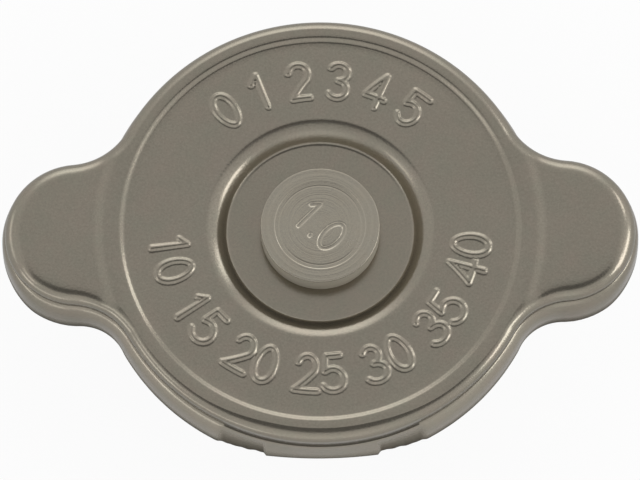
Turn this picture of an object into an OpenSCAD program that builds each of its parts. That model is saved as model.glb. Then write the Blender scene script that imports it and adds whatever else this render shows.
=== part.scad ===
// Pressure cap for a radiator filler neck, with the valve assembly that hangs under it.
// Millimetres, +Z up, ears along X. The cap stands on its main gasket at z = 0.

/* [Shell] */
// radius of the round wall above the crease
body_r = 23; // [22.5:0.1:24]
// distance from the middle to the centre of each ear's round end
ear_x = 25.2; // [24.5:0.1:26.2]
// radius of each ear's round end above the crease
ear_r = 7.7; // [7:0.1:8]
// radius of the hollow fillet where an ear leaves the round wall
root_r = 7; // [5:0.5:8]
// thickness of the pressed sheet
sheet = 0.8; // [0.7:0.05:0.9]
// radius of the rolled edge between face and round wall
roll_r = 1.2; // [1:0.1:1.4]
// radius of the softer rolled edge round the ears
ear_roll_r = 1.9; // [1.5:0.1:2]
// height of the skirt under the ear face
skirt_h = 7.8; // [7.4:0.1:8.3]
// how far the lower skirt stands out at its widest
flare = 0.5; // [0.3:0.05:0.6]
// depth of the crease under the ear face
crease_h = 2.3; // [2:0.1:2.6]
// radius of the flat disc inside the raised ring
disc_r = 20.85; // [20:0.05:21]
// height of the raised ring over the disc
ridge_h = 0.3; // [0.1:0.05:0.4]
// radius of the middle recess at its floor
recess_r = 9.75; // [9.2:0.05:10.2]
// depth of the middle recess
recess_d = 1.45; // [1.3:0.05:1.6]
// radius of the round shoulder at the recess's upper edge
shoulder_r = 1.95; // [1.6:0.05:2.1]
// inward reach of each bayonet lug
lug_reach = 3.6; // [3:0.1:3.7]
// half the angle that a lug spans
lug_half = 15; // [12:1:18]
// half the angle of the gap in the skirt around a lug
notch_half = 27; // [24:1:32]

/* [Rivet] */
// radius of the head at its top
head_r = 6.2; // [5.5:0.05:6.8]
// height of the head over the recess floor
head_h = 2.55; // [2.2:0.05:2.8]
// radius of the shallow step turned in the head
head_step_r = 4.7; // [4:0.1:5.2]
// radius of the shank
shank_r = 2.95; // [2.6:0.05:3.2]
// radius of the head formed at the lower end
formed_r = 4.4; // [4.1:0.1:5]
// height of the head formed at the lower end
formed_h = 0.9; // [0.7:0.1:1.2]

/* [Seal and washer] */
// thickness of the spring diaphragm
diaphragm_t = 0.4; // [0.3:0.05:0.5]
// outer radius of the diaphragm's rim
diaphragm_r = 19; // [18.6:0.1:19]
// depth of the diaphragm's dish
dish_d = 0.8; // [0.6:0.1:1.2]
// thickness of the upper gasket
upper_gasket_t = 1.2; // [1:0.1:1.5]
// gap between the upper gasket ring and the spring housing
upper_gasket_gap = 1.2; // [1:0.1:1.8]
// thickness of the swivel washer
washer_t = 0.4; // [0.3:0.05:0.5]
// radius of the swivel washer
washer_r = 8.5; // [7:0.1:9.5]

/* [Housing and main spring] */
// outer radius of the spring housing
bell_r = 12; // [11.8:0.05:12.3]
// thickness of the housing sheet
bell_t = 0.6; // [0.5:0.05:0.7]
// width of each window in the housing wall
window_w = 6; // [4:0.5:8]
// height of each window in the housing wall
window_h = 6.4; // [4:0.2:7]
// seated height of the main spring
spring_h = 10.3; // [10:0.1:11]
// wire diameter of the main spring
spring_wire = 1.3; // [1.1:0.05:1.4]
// turns of the main spring, end turns too
spring_turns = 4.5; // [4:0.25:5]

/* [Pressure valve] */
// sheet thickness of the valve plate
valve_t = 0.7; // [0.6:0.05:0.8]
// outer radius of the valve plate's cup
cup_r = 9.3; // [8.8:0.1:9.4]
// height of the valve plate from floor to collar
cup_h = 3.5; // [3.2:0.1:4.2]
// radius of the backing plate
backing_r = 13; // [12:0.1:13.4]
// thickness of the backing plate
backing_t = 0.6; // [0.5:0.05:0.8]
// outer radius of the main gasket
gasket_r = 14; // [13.6:0.1:14.4]
// thickness of the main gasket
gasket_t = 1.8; // [1.5:0.1:2.2]
// depth of the sealing lip under the main gasket
lip_h = 2.6; // [2.6:0.1:3.2]
// width of the sealing lip
lip_w = 3; // [2.4:0.1:3.4]
// radius of the ferrule's flange
ferrule_r = 9.6; // [8.5:0.1:10]
// outer radius of the ferrule's tube
tube_r = 2.6; // [2.4:0.05:2.8]

/* [Vacuum valve] */
// radius of the vacuum valve's disc
disc_valve_r = 5; // [4.4:0.1:5.6]
// thickness of the vacuum valve's disc
disc_valve_t = 0.6; // [0.5:0.05:0.7]
// thickness of the vacuum gasket
vacuum_gasket_t = 0.6; // [0.5:0.05:0.7]
// radius of the vacuum valve's stem
stem_r = 1; // [0.8:0.05:1.2]
// seated height of the vacuum spring
vacuum_spring_h = 4.2; // [3.8:0.1:4.6]
// wire diameter of the vacuum spring
vacuum_wire = 0.45; // [0.35:0.05:0.5]

/* [Hidden] */
// running gap between turning or sliding round faces
run_gap = 0.3;
// gap of a seated round piece in its hole
seat_gap = 0.05;
// gap between neighbouring closed turns of a spring
turn_gap = 0.05;
// angle over which the skirt changes form at a notch edge
edge_step = 0.35;

// heights, from the bottom up
flange_t = 0.5;
base_z = lip_h;
vacuum_top_z = base_z - flange_t;
disc_top_z = vacuum_top_z - vacuum_gasket_t;
backing_z = base_z + gasket_t;
floor_z = backing_z + backing_t;
swage_z = floor_z + valve_t;
swage_t = 0.4;
vacuum_spring_z = swage_z + swage_t;
clip_z = vacuum_spring_z + vacuum_spring_h;
clip_t = 0.7;
stem_top_z = clip_z + clip_t + 0.5;
collar_z = floor_z + cup_h;
spring_z = collar_z + valve_t;
bell_under_z = spring_z + spring_h;
washer_z = bell_under_z + bell_t;
hub_z = washer_z + washer_t;
recess_under_z = hub_z + diaphragm_t;
recess_z = recess_under_z + sheet;
face_z = recess_z + recess_d;
ring_z = hub_z - dish_d;

// radii that follow others
bore_r = shank_r + run_gap;
rivet_hole_r = shank_r + seat_gap;
collar_r = bell_r - bell_t - run_gap;
lip_inner_r = cup_r + run_gap + 0.2;
spring_r = bell_r - bell_t - spring_wire / 2 - 0.85;
upper_gasket_r = diaphragm_r - diaphragm_t - 0.4;
upper_gasket_in_r = bell_r + upper_gasket_gap;
dish_out_r = upper_gasket_in_r - 0.2;

// plan of the shell: round ear ends and the round body, joined by hollow fillets
tip_steps = 9;
root_steps = 5;
arm_steps = 7;
notch_steps = 4;
lug_steps = 3;
root_cx = (pow(body_r + root_r, 2) - pow(ear_r + root_r, 2) + ear_x * ear_x) / (2 * ear_x);
root_cy = sqrt(pow(body_r + root_r, 2) - root_cx * root_cx);
tip_end = atan2(root_cy, root_cx - ear_x);
root_end = atan2(root_cy, root_cx);
notch_at = 90 - notch_half;
lug_at = 90 - lug_half;
function eased(t) = t * t * (3 - 2 * t);
function clamped(t) = min(1, max(0, t));

// each plan point holds x, y, the outward normal, the roll, the skirt form (0 plain, 1 notch, 2 lug)
// and the spread, by which the skirt's lower edge leaves its form
root_draw = 0.25;
notch_spread = flare - 0.1;
function tip_point(a) = [ear_x + ear_r * cos(a), ear_r * sin(a), cos(a), sin(a), ear_roll_r, 0, 0];
function root_share(a) = (tip_end - a) / (tip_end - root_end);
function root_point(a) = [
    root_cx - root_r * cos(a), root_cy - root_r * sin(a), cos(a), sin(a),
    ear_roll_r + (roll_r - ear_roll_r) * root_share(a), 0, -root_draw * sin(180 * root_share(a))
];
// in a notch the flare fades out, and a lug folds about a line halfway between arc and chord
function body_spread(a, form) =
    form == 1 ? notch_spread * eased(clamped((lug_at - a) / (lug_at - notch_at))) :
    form == 2 ? (body_r / sin(a) - body_r) / 2 : 0;
function body_point(a, form) = [
    body_r * cos(a), body_r * sin(a), cos(a), sin(a), roll_r, form, body_spread(a, form)
];
function sweep(from, to, steps, first) = [for (i = [first : steps]) from + (to - from) * i / steps];

quarter = concat(
    [for (a = sweep(0, tip_end, tip_steps, 0)) tip_point(a)],
    [for (a = sweep(tip_end, root_end, root_steps, 1)) root_point(a)],
    [for (a = sweep(root_end, notch_at, arm_steps, 1)) body_point(a, 0)],
    [for (a = sweep(notch_at + edge_step, lug_at, notch_steps, 0)) body_point(a, 1)],
    [for (a = sweep(lug_at + edge_step, 90, lug_steps, 0)) body_point(a, 2)]
);
quarter_last = len(quarter) - 1;
function mirrored_x(p) = [-p[0], p[1], -p[2], p[3], p[4], p[5], p[6]];
function mirrored_y(p) = [p[0], -p[1], p[2], -p[3], p[4], p[5], p[6]];
half = concat(quarter, [for (i = [quarter_last - 1 : -1 : 0]) mirrored_x(quarter[i])]);
half_last = len(half) - 1;
outline = concat(half, [for (i = [half_last - 1 : -1 : 1]) mirrored_y(half[i])]);
ring_count = len(outline);

// the face: circles out to the raised ring, then rings that ease from circle to plan
function roll_start(p) = [p[0] - p[4] * p[2], p[1] - p[4] * p[3]];
fall_in_r = body_r + 0.3;
fall_out_r = body_r + 1.1;
function ridge_at(r) = ridge_h * (1 - eased(clamped((r - fall_in_r) / (fall_out_r - fall_in_r))));
function on_ray(p, r, z) = let (q = roll_start(p)) [q[0] * r / norm(q), q[1] * r / norm(q), z];
function circle_ring(r, z) = [for (p = outline) on_ray(p, r, z)];
fall_steps = 3;
fall_pitch = 0.08;
function fall_r(p, k) = min(
    fall_in_r + (fall_out_r - fall_in_r) * k / fall_steps,
    norm(roll_start(p)) - fall_pitch * (fall_steps + 1 - k)
);
function fall_ring(k) = [for (p = outline) let (r = fall_r(p, k)) on_ray(p, r, face_z + ridge_at(r))];
roll_steps = 5;
function roll_ring(k) = let (a = 90 * k / roll_steps) [for (p = outline)
    let (
        off = p[4] * (sin(a) - 1),
        lift = ridge_at(norm(roll_start(p))) * (1 - k / roll_steps)
    )
    [p[0] + off * p[2], p[1] + off * p[3], face_z + lift - p[4] * (1 - cos(a))]
];

// the skirt: outward offset and depth under the face, for the plain, notch and lug forms
lug_bottom = skirt_h + 0.2;
lug_top = lug_bottom - sheet;
notch_bottom = skirt_h - 0.5;
skirt_forms = [
    [[0, crease_h], [0, crease_h], [0, crease_h]],
    [[0.04, crease_h + 0.2], [0.02, crease_h + 0.2], [0.02, crease_h + 0.2]],
    [[flare - 0.2, crease_h + 0.45], [0.05, crease_h + 0.45], [0.05, crease_h + 0.45]],
    [[flare, skirt_h - 1], [0.05, notch_bottom - 1], [0.05, lug_bottom - 1.7]],
    [[flare - 0.07, skirt_h - 0.5], [0.05, notch_bottom - 0.7], [-0.07, lug_bottom - 0.9]],
    [[flare - 0.3, skirt_h - 0.13], [0.04, notch_bottom - 0.4], [-0.5, lug_bottom - 0.3]],
    [[flare - 0.55, skirt_h], [0, notch_bottom - 0.1], [-1.25, lug_bottom]],
    [[flare - sheet, skirt_h], [-0.35, notch_bottom], [-lug_reach, lug_bottom]],
    [[flare - sheet - 0.03, skirt_h - 0.2], [-sheet + 0.08, notch_bottom], [-lug_reach, lug_top]],
    [[flare - sheet - 0.2, crease_h + 0.7], [-sheet + 0.06, notch_bottom - 0.7], [-sheet - 0.5, lug_top]],
    [[-sheet, crease_h + 0.2], [-sheet + 0.05, notch_bottom - 1.7], [-sheet + 0.05, lug_top - 0.6]],
    [[-sheet, sheet + 0.9], [-sheet, sheet + 0.9], [-sheet, sheet + 0.9]],
    [[-sheet - 0.25, sheet + 0.3], [-sheet - 0.25, sheet + 0.3], [-sheet - 0.25, sheet + 0.3]],
    [[-sheet - 0.8, sheet], [-sheet - 0.8, sheet], [-sheet - 0.8, sheet]]
];
function spread_share(depth) = clamped((depth - crease_h - 0.2) / (skirt_h - crease_h - 1.2));
function skirt_ring(forms) = [for (p = outline)
    let (f = forms[p[5]], off = f[0] + p[6] * spread_share(f[1]))
    [p[0] + off * p[2], p[1] + off * p[3], face_z - f[1]]
];

// the recess: a tight foot, a straight sloping wall and a round shoulder, with the sheet's thickness below
foot_r = 0.35;
wall_angle = 60;
wall_run = (recess_d - (shoulder_r + foot_r) * (1 - cos(wall_angle))) / sin(wall_angle);
recess_top_r = recess_r + (shoulder_r + foot_r) * sin(wall_angle) + wall_run * cos(wall_angle);
function foot_ring(a, t) = circle_ring(
    recess_r + (foot_r + t) * sin(a), recess_z + foot_r - (foot_r + t) * cos(a)
);
function shoulder_ring(a, t) = circle_ring(
    recess_top_r - (shoulder_r - t) * sin(a), face_z - shoulder_r + (shoulder_r - t) * cos(a)
);
step_forms = [[-0.25, 0], [-0.1, 0.2], [0.05, 0.75], [0.2, 1]];
middle_r = 4.6;

rings = concat(
    [circle_ring(middle_r, recess_z)],
    [for (a = sweep(0, wall_angle, 2, 0)) foot_ring(a, 0)],
    [for (a = sweep(wall_angle, 0, 4, 0)) shoulder_ring(a, 0)],
    [for (s = step_forms) circle_ring(disc_r + s[0], face_z + s[1] * ridge_h)],
    [for (k = [0 : fall_steps]) fall_ring(k)],
    [for (k = [0 : roll_steps]) roll_ring(k)],
    [for (f = skirt_forms) skirt_ring(f)],
    [for (a = [0, wall_angle]) shoulder_ring(a, sheet)],
    [for (a = sweep(wall_angle, 0, 2, 0)) foot_ring(a, sheet)],
    [circle_ring(middle_r, recess_under_z)]
);
ring_last = len(rings) - 1;
function joined(lists) = [for (l = lists) for (p = l) p];
function next_in(i) = (i + 1) % ring_count;
loft_faces = concat(
    [[for (i = [ring_count - 1 : -1 : 0]) i]],
    [for (j = [0 : ring_last - 1]) for (i = [0 : ring_count - 1])
        [j * ring_count + i, j * ring_count + next_in(i), (j + 1) * ring_count + next_in(i)]],
    [for (j = [0 : ring_last - 1]) for (i = [0 : ring_count - 1])
        [j * ring_count + i, (j + 1) * ring_count + next_in(i), (j + 1) * ring_count + i]],
    [[for (i = [0 : ring_count - 1]) ring_last * ring_count + i]]
);

// a coil with closed ends ground flat: wire centres rise slowly on the end turns, evenly between
function coil_z(t, low, high, wire, turns) =
    let (
        start = low + 0.15 * wire,
        close = wire + turn_gap,
        active = (high - low - 0.3 * wire - 2 * close) / (turns - 2)
    )
    start + close * min(t, 1) + active * max(0, min(t, turns - 1) - 1) + close * max(0, t - turns + 1);
function coil_points(r, low, high, wire, turns, per_turn, sides) = [
    for (s = [0 : round(turns * per_turn)])
        let (t = s / per_turn, z = coil_z(t, low, high, wire, turns))
            for (k = [0 : sides - 1])
                let (
                    a = 360 * k / sides + 90,
                    reach = r + wire / 2 * cos(a),
                    up = min(high, max(low, z + wire / 2 * sin(a)))
                )
                [reach * cos(360 * t), reach * sin(360 * t), up]
];
// each end's polygon starts at the point furthest from the ground face
function coil_faces(stations, sides) = concat(
    [[for (k = [sides : -1 : 1]) k % sides]],
    [for (s = [0 : stations - 2]) for (k = [0 : sides - 1])
        [s * sides + k, (s + 1) * sides + (k + 1) % sides, (s + 1) * sides + k]],
    [for (s = [0 : stations - 2]) for (k = [0 : sides - 1])
        [s * sides + k, s * sides + (k + 1) % sides, (s + 1) * sides + (k + 1) % sides]],
    [[for (k = [0 : sides - 1]) (stations - 1) * sides + (k + sides / 2) % sides]]
);
spring_per_turn = 24;
spring_sides = 8;
vacuum_turns = 5;
vacuum_per_turn = 14;
vacuum_sides = 6;

// pressed cap with two ears, a sunk middle, a crease round the skirt and two bayonet lugs
module cap_shell() {
    color("#8f8a7e") difference() {
        polyhedron(points = joined(rings), faces = loft_faces, convexity = 8);
        translate([0, 0, recess_under_z - 1]) cylinder(r = rivet_hole_r, h = sheet + 2, $fn = 64);
    }
}

// turned rivet: wide flat head with a shallow step, shank, and the head formed under the housing
module centre_rivet() {
    head_z = recess_z + head_h;
    formed_z = bell_under_z - formed_h;
    color("#b9b7b0") rotate_extrude($fn = 96) polygon([
        [0, formed_z], [formed_r - 0.6, formed_z], [formed_r - 0.15, formed_z + 0.25],
        [formed_r, bell_under_z - 0.3], [formed_r, bell_under_z], [shank_r, bell_under_z],
        [shank_r, recess_z], [head_r, recess_z], [head_r, head_z - 0.2], [head_r - 0.06, head_z - 0.06],
        [head_r - 0.2, head_z], [head_step_r + 0.1, head_z], [head_step_r, head_z - 0.08],
        [0, head_z - 0.08]
    ]);
}

// dished spring plate that presses the upper gasket on the neck
module spring_diaphragm() {
    t = diaphragm_t;
    dish_in_r = dish_out_r - 1.5;
    color("#a6a49c") rotate_extrude($fn = 96) polygon([
        [bore_r, hub_z], [dish_in_r, hub_z], [dish_out_r, ring_z], [diaphragm_r - t - 0.2, ring_z],
        [diaphragm_r - t, ring_z - 0.2], [diaphragm_r - t, ring_z - 0.7],
        [diaphragm_r, ring_z - 0.7], [diaphragm_r, ring_z], [diaphragm_r - 0.2, ring_z + t - 0.1],
        [diaphragm_r - 0.5, ring_z + t], [dish_out_r + 0.1, ring_z + t],
        [dish_in_r + 0.1, hub_z + t], [bore_r, hub_z + t]
    ]);
}

// rubber ring under the diaphragm
module upper_gasket() {
    low = ring_z - upper_gasket_t;
    color("#2a2a2c") rotate_extrude($fn = 96) polygon([
        [upper_gasket_in_r + 0.2, low], [upper_gasket_r - 0.2, low], [upper_gasket_r, low + 0.2],
        [upper_gasket_r, ring_z], [upper_gasket_in_r, ring_z], [upper_gasket_in_r, low + 0.2]
    ]);
}

// washer on which the cap turns over the housing
module swivel_washer() {
    color("#b08d57") rotate_extrude($fn = 64) translate([bore_r, washer_z])
        square([washer_r - bore_r, washer_t]);
}

// bell that carries the main spring, with four windows and an inturned lip
module spring_housing() {
    t = bell_t;
    lip_z = collar_z - t;
    window_z = (spring_z + bell_under_z - window_h) / 2;
    cut = 1;
    color("#9c9a92") difference() {
        rotate_extrude($fn = 96) polygon([
            [bore_r, bell_under_z], [bell_r - 1.6, bell_under_z], [bell_r - t - 0.3, bell_under_z - 0.5],
            [bell_r - t, bell_under_z - 1.2], [bell_r - t, collar_z], [lip_inner_r, collar_z],
            [lip_inner_r, lip_z], [bell_r - 0.4, lip_z], [bell_r, lip_z + 0.4],
            [bell_r, washer_z - 1.6], [bell_r - 0.3, washer_z - 0.75], [bell_r - 0.75, washer_z - 0.3],
            [bell_r - 1.6, washer_z], [bore_r, washer_z]
        ]);
        for (a = [45, 135]) rotate([0, 0, a]) translate([bell_r + 2, 0, window_z]) rotate([90, 0, -90])
            linear_extrude(2 * bell_r + 4) polygon([
                [-window_w / 2, cut], [-window_w / 2 + cut, 0], [window_w / 2 - cut, 0], [window_w / 2, cut],
                [window_w / 2, window_h - cut], [window_w / 2 - cut, window_h],
                [-window_w / 2 + cut, window_h], [-window_w / 2, window_h - cut]
            ]);
    }
}

// main compression spring, seated between the valve plate's collar and the housing
module main_spring() {
    color("#b4b2aa") polyhedron(
        points = coil_points(
            spring_r, spring_z, bell_under_z, spring_wire, spring_turns, spring_per_turn, spring_sides
        ),
        faces = coil_faces(round(spring_turns * spring_per_turn) + 1, spring_sides),
        convexity = 10
    );
}

// cup that carries the main gasket, held in the housing by its collar
module valve_plate() {
    t = valve_t;
    inner_r = cup_r - t;
    color("#a29f96") rotate_extrude($fn = 96) polygon([
        [tube_r, floor_z], [cup_r - 0.8, floor_z], [cup_r - 0.2, floor_z + 0.3], [cup_r, floor_z + 0.9],
        [cup_r, collar_z], [collar_r, collar_z], [collar_r, spring_z], [cup_r, spring_z],
        [inner_r + 0.2, spring_z - 0.2], [inner_r, spring_z - 0.6], [inner_r, floor_z + t + 0.5],
        [inner_r - 0.5, floor_z + t], [tube_r, floor_z + t]
    ]);
}

// plate that backs the main gasket, with a turned-down rim
module backing_plate() {
    color("#a29f96") rotate_extrude($fn = 96) polygon([
        [tube_r, backing_z], [backing_r, backing_z], [backing_r, floor_z - 0.2],
        [backing_r - 0.2, floor_z], [tube_r, floor_z]
    ]);
}

// rubber seal with a deep sealing lip
module main_gasket() {
    color("#26272a") rotate_extrude($fn = 96) polygon([
        [tube_r, base_z], [gasket_r - lip_w - 0.4, base_z], [gasket_r - lip_w, base_z - 0.4],
        [gasket_r - lip_w, 0.4], [gasket_r - lip_w + 0.4, 0], [gasket_r - 0.4, 0], [gasket_r, 0.4],
        [gasket_r, backing_z - 0.3], [gasket_r - 0.3, backing_z], [tube_r, backing_z]
    ]);
}

// flanged tube swaged over the valve plate, guide and seat of the vacuum valve
module valve_ferrule() {
    bore = tube_r - 0.7;
    color("#b5975a") rotate_extrude($fn = 96) polygon([
        [bore, vacuum_top_z], [ferrule_r, vacuum_top_z], [ferrule_r, base_z], [tube_r, base_z],
        [tube_r, swage_z], [tube_r + 1, swage_z], [tube_r + 0.9, swage_z + swage_t - 0.1],
        [tube_r + 0.7, swage_z + swage_t], [bore, swage_z + swage_t]
    ]);
}

// small spring that holds the vacuum valve shut
module vacuum_spring() {
    color("#b4b2aa") polyhedron(
        points = coil_points(
            tube_r - 0.1, vacuum_spring_z, clip_z, vacuum_wire, vacuum_turns, vacuum_per_turn, vacuum_sides
        ),
        faces = coil_faces(vacuum_turns * vacuum_per_turn + 1, vacuum_sides),
        convexity = 10
    );
}

// disc and stem of the vacuum valve, with a groove for its clip
module vacuum_valve() {
    low = disc_top_z - disc_valve_t;
    groove_r = stem_r - 0.25;
    color("#b5975a") rotate_extrude($fn = 64) polygon([
        [0, low], [disc_valve_r - 0.3, low], [disc_valve_r, low + 0.3], [disc_valve_r, disc_top_z],
        [stem_r, disc_top_z], [stem_r, clip_z], [groove_r, clip_z], [groove_r, clip_z + clip_t],
        [stem_r, clip_z + clip_t], [stem_r, stem_top_z - 0.2], [stem_r - 0.2, stem_top_z], [0, stem_top_z]
    ]);
}

// thin rubber ring on the vacuum valve's disc
module vacuum_gasket() {
    color("#26272a") rotate_extrude($fn = 64) translate([stem_r, disc_top_z])
        square([disc_valve_r - 0.2 - stem_r, vacuum_gasket_t]);
}

// slotted clip that holds the vacuum spring on the stem
module vacuum_clip() {
    clip_r = tube_r + 0.6;
    slot_w = 2 * (stem_r - 0.25);
    color("#9c9a92") difference() {
        translate([0, 0, clip_z]) cylinder(r = clip_r, h = clip_t, $fn = 48);
        translate([0, 0, clip_z - 1]) cylinder(r = slot_w / 2, h = clip_t + 2, $fn = 48);
        translate([0, -slot_w / 2 + 0.1, clip_z - 1]) cube([clip_r + 1, slot_w - 0.2, clip_t + 2]);
    }
}

cap_shell();
centre_rivet();
spring_diaphragm();
upper_gasket();
swivel_washer();
spring_housing();
main_spring();
valve_plate();
backing_plate();
main_gasket();
valve_ferrule();
vacuum_spring();
vacuum_valve();
vacuum_gasket();
vacuum_clip();
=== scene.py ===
# Radiator pressure cap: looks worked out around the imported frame; pieces in mm, the scene round them in metres.
import math

import bmesh
import bpy
import numpy as np
from mathutils import Matrix, Vector


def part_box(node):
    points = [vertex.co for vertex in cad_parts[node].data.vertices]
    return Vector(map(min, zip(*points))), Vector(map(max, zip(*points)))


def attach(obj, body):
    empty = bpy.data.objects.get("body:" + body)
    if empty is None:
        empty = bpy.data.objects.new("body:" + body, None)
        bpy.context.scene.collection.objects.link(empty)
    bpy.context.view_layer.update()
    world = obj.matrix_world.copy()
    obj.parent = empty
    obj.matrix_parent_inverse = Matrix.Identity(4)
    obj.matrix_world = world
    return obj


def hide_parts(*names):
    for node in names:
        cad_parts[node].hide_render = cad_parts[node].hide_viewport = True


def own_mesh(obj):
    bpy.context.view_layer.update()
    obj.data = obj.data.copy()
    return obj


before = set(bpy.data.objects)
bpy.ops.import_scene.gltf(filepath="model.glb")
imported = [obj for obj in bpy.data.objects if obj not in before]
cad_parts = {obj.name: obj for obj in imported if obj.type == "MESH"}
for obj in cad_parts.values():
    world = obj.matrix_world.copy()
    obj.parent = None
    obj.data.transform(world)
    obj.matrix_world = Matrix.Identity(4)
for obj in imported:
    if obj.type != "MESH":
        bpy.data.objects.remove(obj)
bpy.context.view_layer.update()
mm = 0.001
creaseAngle = 38.0  # degrees between faces, past which an edge stays sharp
farAway = 1e9  # a distance beyond every stroke
print("frame loaded:", len(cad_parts), "nodes")


# small tools for grids, profiles and curves

def smooth(t):
    # cubic ease from 0 to 1, flat at both ends
    t = np.clip(t, 0.0, 1.0)
    return t * t * (3.0 - 2.0 * t)


def newObject(name, data):
    # an object at the origin, linked to the scene
    made = bpy.data.objects.new(name, data)
    bpy.context.scene.collection.objects.link(made)
    return made


def newPiece(name, verts, faces, sharp=creaseAngle):
    # points in mm and faces become a smooth mesh object, creased where faces meet sharply
    mesh = bpy.data.meshes.new(name)
    mesh.from_pydata((np.asarray(verts) * mm).tolist(), [], faces)
    mesh.polygons.foreach_set("use_smooth", np.ones(len(mesh.polygons), dtype=bool))
    mesh.set_sharp_from_angle(angle=math.radians(sharp))
    return newObject(name, mesh)


def gridFaces(rows, cols, closeRows=False):
    # quads between neighbouring rows and columns of a grid whose columns run once round
    index = np.arange(rows * cols).reshape(rows, cols)
    index = np.hstack([index, index[:, :1]])
    grid = np.vstack([index, index[:1]]) if closeRows else index
    quads = np.stack([grid[:-1, :-1], grid[1:, :-1], grid[1:, 1:], grid[:-1, 1:]], axis=-1)
    return quads.reshape(-1, 4).tolist(), index


def gridMesh(name, points, closeRows=False, capFirst=None, capLast=None, sharp=creaseAngle):
    # a grid of points (row, column, xyz in mm); an end row may be closed by a fan to one middle point
    rows, cols = points.shape[:2]
    faces, index = gridFaces(rows, cols, closeRows)
    verts = points.reshape(-1, 3)
    ends = ((capFirst, index[0, :-1], index[0, 1:]), (capLast, index[-1, 1:], index[-1, :-1]))
    for middle, a, b in ends:
        if middle is not None:
            faces += np.stack([np.full(cols, len(verts)), a, b], axis=-1).tolist()
            verts = np.vstack([verts, middle])
    return newPiece(name, verts, faces, sharp)


def setAttribute(piece, name, values):
    # one number for each point, which a material reads by name
    layer = piece.data.attributes.new(name, "FLOAT", "POINT")
    full = np.zeros(len(piece.data.vertices), dtype=np.float32)
    full[:values.size] = values.reshape(-1)
    layer.data.foreach_set("value", full)


def segmentDistance(u, v, strokes):
    # least distance from each point (u, v) to a list of line segments
    best = np.full(u.shape, farAway)
    for line in strokes:
        a, b = line[:-1], line[1:]
        d = b - a
        pu, pv = u[..., None] - a[:, 0], v[..., None] - a[:, 1]
        t = np.clip((pu * d[:, 0] + pv * d[:, 1]) / (d ** 2).sum(axis=1), 0.0, 1.0)
        gap = np.hypot(pu - t * d[:, 0], pv - t * d[:, 1]).min(axis=-1)
        best = np.minimum(best, gap)
    return best


def arcLine(cx, cy, rx, ry, start, end, steps=14):
    # points of an ellipse's arc from start to end, in degrees
    a = np.radians(np.linspace(start, end, steps))
    return np.stack([cx + rx * np.cos(a), cy + ry * np.sin(a)], axis=-1)


def roundedProfile(corners, steps=5):
    # a corner (radius, height, rounding) becomes a parabola between a point on each of its two sides,
    # and stays sharp where its rounding is 0
    c = np.array(corners, dtype=float)
    most = 0.48  # share of a side, so that two roundings never meet
    rows = []
    for before, here, after in zip(np.roll(c, 1, axis=0), c, np.roll(c, -1, axis=0)):
        p, a, b = here[:2], before[:2], after[:2]
        if here[2] == 0:
            rows.append(p[None])
            continue
        cutA, cutB = (min(here[2] / np.linalg.norm(side - p), most) for side in (a, b))
        start, end = p + (a - p) * cutA, p + (b - p) * cutB
        t = np.linspace(0, 1, steps)[:, None]
        rows.append((1 - t) ** 2 * start + 2 * t * (1 - t) * p + t ** 2 * end)
    return np.concatenate(rows)


def evenAngles(count):
    # angles once round, in even steps
    return np.arange(count) * 2 * math.pi / count


def onRays(r, theta, z):
    # points at radius r and height z on the rays at angle theta
    return np.stack([r * np.cos(theta), r * np.sin(theta), z + 0 * theta], axis=-1)


def around(profile, columns):
    # a profile (radius, height) carried round the axis
    return onRays(profile[:, :1], evenAngles(columns), profile[:, 1:])


def turnedPiece(name, corners, columns=180):
    # a closed profile, listed counter-clockwise from its lower inner corner, carried round the axis;
    # a first and last corner on the axis close the piece there
    profile = roundedProfile(corners)[::-1]
    if corners[0][0] > 0:
        return gridMesh(name, around(profile, columns), closeRows=True)
    first, last = (np.array([[0, 0, z]]) for z in (profile[0, 1], profile[-1, 1]))
    return gridMesh(name, around(profile[1:-1], columns), capFirst=first, capLast=last)


def heights(node):
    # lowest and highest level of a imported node, in mm
    low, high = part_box(node)
    return low[2] / mm, high[2] / mm


# plain figures as centre lines in a box 1 high, middle at u = 0
figures = {
    "0": [arcLine(0, 0.5, 0.27, 0.5, 0, 360, 28)],
    "1": [np.array([[-0.17, 0.78], [0.03, 1.0], [0.03, 0.0]])],
    "2": [np.vstack([arcLine(0, 0.71, 0.27, 0.29, 165, -35), [[-0.28, 0.0], [0.3, 0.0]]])],
    "3": [arcLine(-0.02, 0.76, 0.25, 0.24, 150, -90), arcLine(-0.02, 0.26, 0.29, 0.26, 90, -150)],
    "4": [np.array([[0.12, 0.0], [0.12, 1.0], [-0.3, 0.3], [0.3, 0.3]])],
    "5": [np.vstack([[[0.24, 1.0], [-0.2, 1.0], [-0.24, 0.56]],
                     arcLine(-0.03, 0.32, 0.3, 0.32, 125, -150)])],
    ".": [np.array([[0.0, 0.02], [0.0, 0.06]])],
}


# cap shell: one closed surface over (place round the rim, place along the section)

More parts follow.
